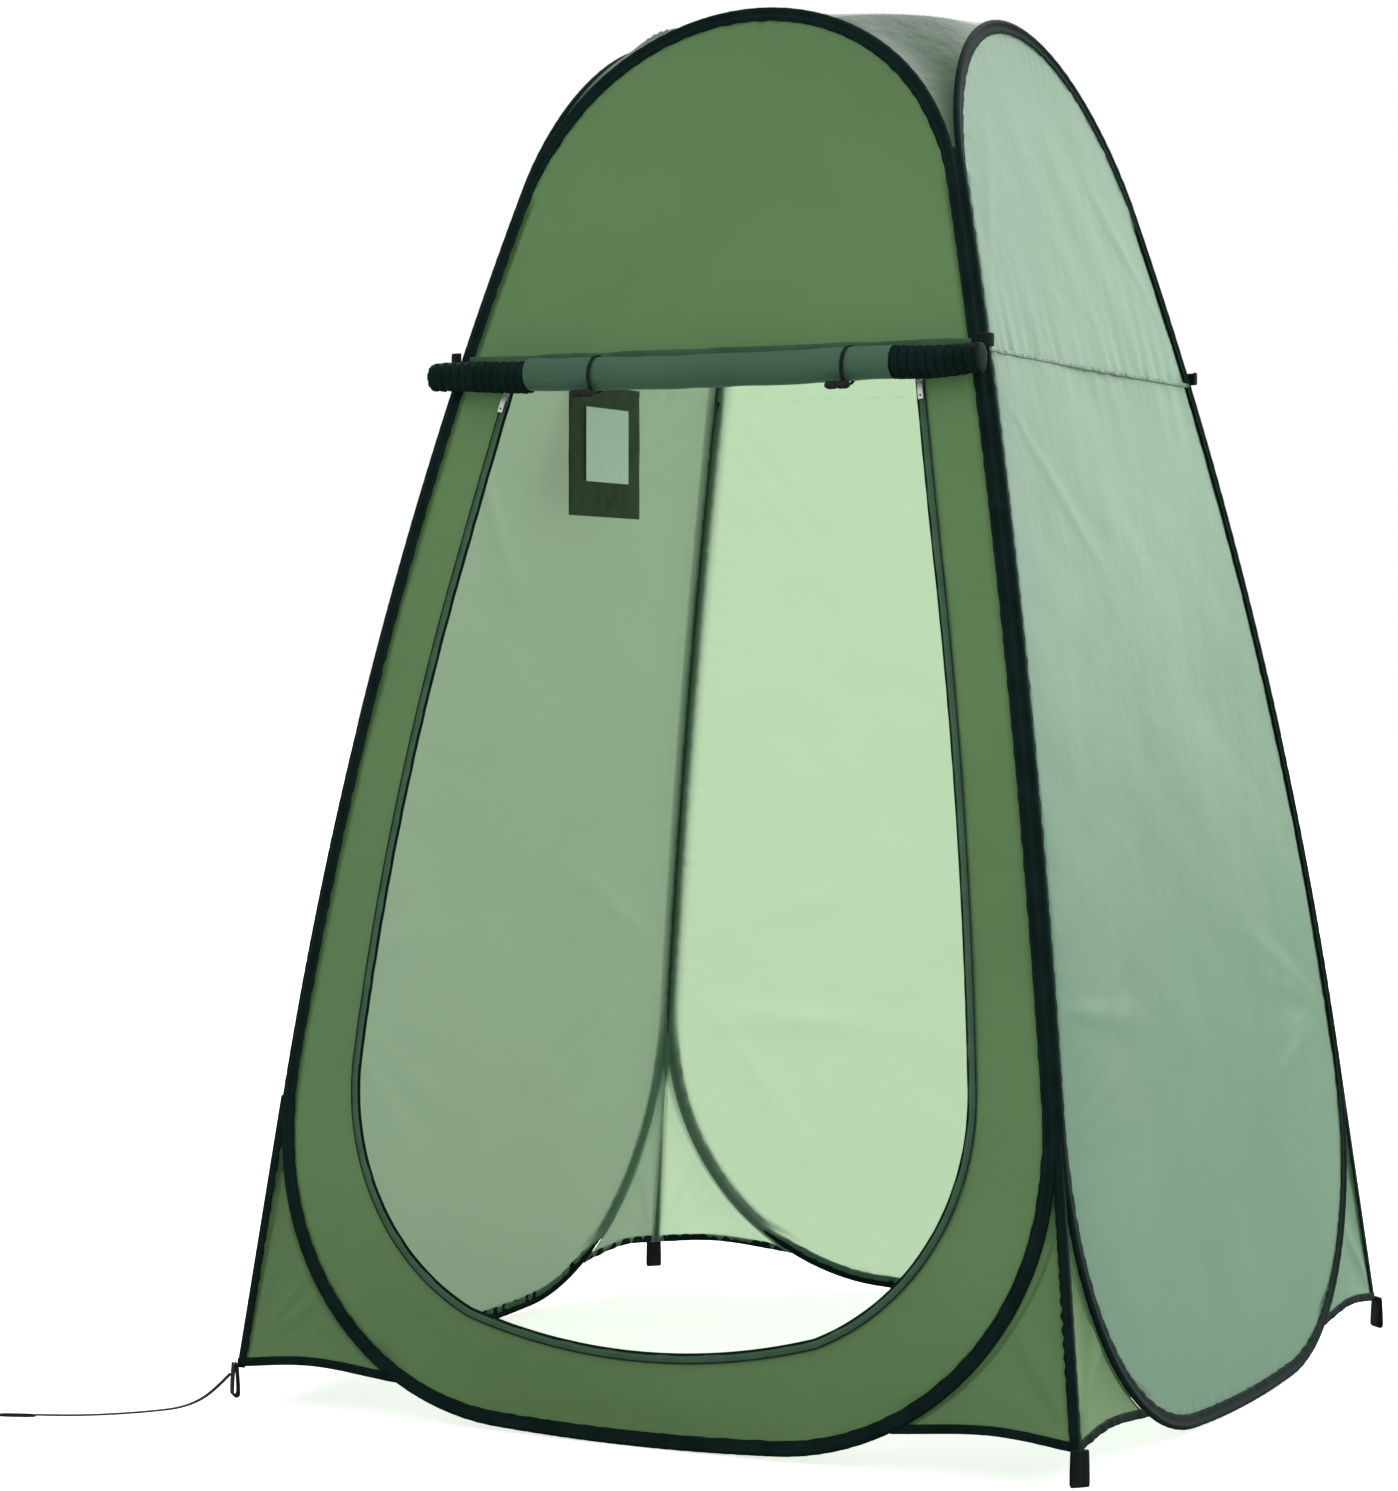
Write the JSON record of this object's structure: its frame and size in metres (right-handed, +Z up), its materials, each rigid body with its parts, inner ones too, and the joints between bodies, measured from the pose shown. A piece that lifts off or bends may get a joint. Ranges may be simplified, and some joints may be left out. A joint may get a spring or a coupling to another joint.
{
  "type": "pop-up privacy shower tent",
  "caption": "Free-standing pop-up privacy tent: spring-steel hoops in cloth sleeves, cloth walls and roof, open ground, and an arched zip doorway with its door rolled up.",
  "frame": {"origin": "on the ground under the middle of the tent", "axes": "+Z up, the doorway faces -Y, +X to the right of a person facing the doorway"},
  "size_m": [1.4662, 1.4686, 1.9],
  "materials": {
    "spring_wire": "satin",
    "crimp_metal": "satin",
    "binding_tape": "matte",
    "webbing": "matte",
    "zip_metal": "satin",
    "toggle_plastic": "satin",
    "card": "matte",
    "pocket_cloth": "satin",
    "wall_cloth": "satin",
    "shell_cloth": "satin"
  },
  "bodies": {
    "front": {"hoop_wire_front": "spring_wire", "hoop_ferrule_front": "crimp_metal", "hoop_sleeve_front": "binding_tape", "door_surround": "shell_cloth", "gable_front": "shell_cloth", "header_band": "binding_tape", "zip_tape": "binding_tape", "door_roll": "shell_cloth", "roll_edge_bindings": "binding_tape", "roll_loops": "webbing", "roof_top": "shell_cloth", "guy_strap": "webbing", "strap_end_loop": "webbing", "gusset_front_right": "shell_cloth", "hem_front_right": "binding_tape", "corner_binding_front_right": "binding_tape", "peg_loop_front_right": "webbing", "shoulder_tab_front_right": "webbing", "roof_corner_front_right": "shell_cloth", "gusset_front_left": "shell_cloth", "hem_front_left": "binding_tape", "corner_binding_front_left": "binding_tape", "peg_loop_front_left": "webbing", "shoulder_tab_front_left": "webbing", "roof_corner_front_left": "shell_cloth"},
    "right": {"hoop_wire_right": "spring_wire", "hoop_ferrule_right": "crimp_metal", "hoop_sleeve_right": "binding_tape", "wall_lower_right": "wall_cloth", "wall_upper_right": "wall_cloth", "gusset_back_right": "shell_cloth", "hem_back_right": "binding_tape", "corner_binding_back_right": "binding_tape", "peg_loop_back_right": "webbing", "shoulder_tab_back_right": "webbing", "roof_corner_back_right": "shell_cloth"},
    "left": {"hoop_wire_left": "spring_wire", "hoop_ferrule_left": "crimp_metal", "hoop_sleeve_left": "binding_tape", "wall_lower_left": "wall_cloth", "wall_upper_left": "wall_cloth", "inner_pocket": "pocket_cloth", "pocket_card": "card", "gusset_back_left": "shell_cloth", "hem_back_left": "binding_tape", "corner_binding_back_left": "binding_tape", "peg_loop_back_left": "webbing", "shoulder_tab_back_left": "webbing", "roof_corner_back_left": "shell_cloth"},
    "back": {"hoop_wire_back": "spring_wire", "hoop_ferrule_back": "crimp_metal", "hoop_sleeve_back": "binding_tape", "wall_lower_back": "wall_cloth", "wall_upper_back": "wall_cloth"},
    "zip_slider_left": {"zip_slider_left": "zip_metal"},
    "zip_pull_left": {"zip_pull_left": "zip_metal"},
    "toggle_left": {"toggle_left": "toggle_plastic"},
    "zip_slider_right": {"zip_slider_right": "zip_metal"},
    "zip_pull_right": {"zip_pull_right": "zip_metal"},
    "toggle_right": {"toggle_right": "toggle_plastic"}
  },
  "joints": [
    {"name": "fold_right", "type": "hinge", "parent": "front", "child": "right", "pos_m": [0.47563, -0.47563, 1], "axis": [0.1865, -0.1865, -0.9646], "range_deg": [0, 48], "deforming": ["roof_top", "gusset_front_right", "hem_front_right", "corner_binding_front_right", "peg_loop_front_right", "shoulder_tab_front_right", "roof_corner_front_right", "gusset_front_left", "hem_front_left", "corner_binding_front_left", "peg_loop_front_left", "shoulder_tab_front_left", "roof_corner_front_left", "gusset_back_left", "hem_back_left", "corner_binding_back_left", "peg_loop_back_left", "shoulder_tab_back_left", "roof_corner_back_left", "gusset_back_right", "hem_back_right", "corner_binding_back_right", "peg_loop_back_right", "shoulder_tab_back_right", "roof_corner_back_right", "wall_lower_right", "wall_upper_right", "wall_lower_back", "wall_upper_back"]},
    {"name": "fold_left", "type": "hinge", "parent": "front", "child": "left", "pos_m": [-0.45178, -0.45178, 1], "axis": [-0.1865, -0.1865, -0.9646], "range_deg": [0, 50.34]},
    {"name": "fold_back", "type": "hinge", "parent": "left", "child": "back", "pos_m": [-0.47563, 0.47563, 1], "axis": [0.1865, -0.1865, 0.9646], "range_deg": [0, 47.58]},
    {"name": "zip_left_slide", "type": "slide", "parent": "front", "child": "zip_slider_left", "axis": [-0.2002, -0.223, -0.954], "range_m": [0, 0.24]},
    {"name": "zip_pull_left_swing", "type": "hinge", "parent": "zip_slider_left", "child": "zip_pull_left", "pos_m": [-0.30785, -0.40909, 1.37795], "axis": [-0.9798, 0.0456, 0.195], "range_deg": [0, 60]},
    {"name": "zip_right_slide", "type": "slide", "parent": "front", "child": "zip_slider_right", "axis": [0.2002, -0.223, -0.954], "range_m": [0, 0.24]},
    {"name": "zip_pull_right_swing", "type": "hinge", "parent": "zip_slider_right", "child": "zip_pull_right", "pos_m": [0.30785, -0.40909, 1.37795], "axis": [-0.9798, -0.0456, -0.195], "range_deg": [0, 60]},
    {"name": "toggle_left_turn", "type": "hinge", "parent": "front", "child": "toggle_left", "pos_m": [-0.167, -0.44893, 1.37042], "axis": [0, -0.6428, -0.766], "range_deg": [-90, 90]},
    {"name": "toggle_right_turn", "type": "hinge", "parent": "front", "child": "toggle_right", "pos_m": [0.21, -0.44893, 1.37042], "axis": [0, -0.6428, -0.766], "range_deg": [-90, 90]}
  ],
  "couplings": [
    {"joint": "fold_left", "follows": "fold_right", "ratio": 1.0486},
    {"joint": "fold_back", "follows": "fold_right", "ratio": 0.9911}
  ]
}
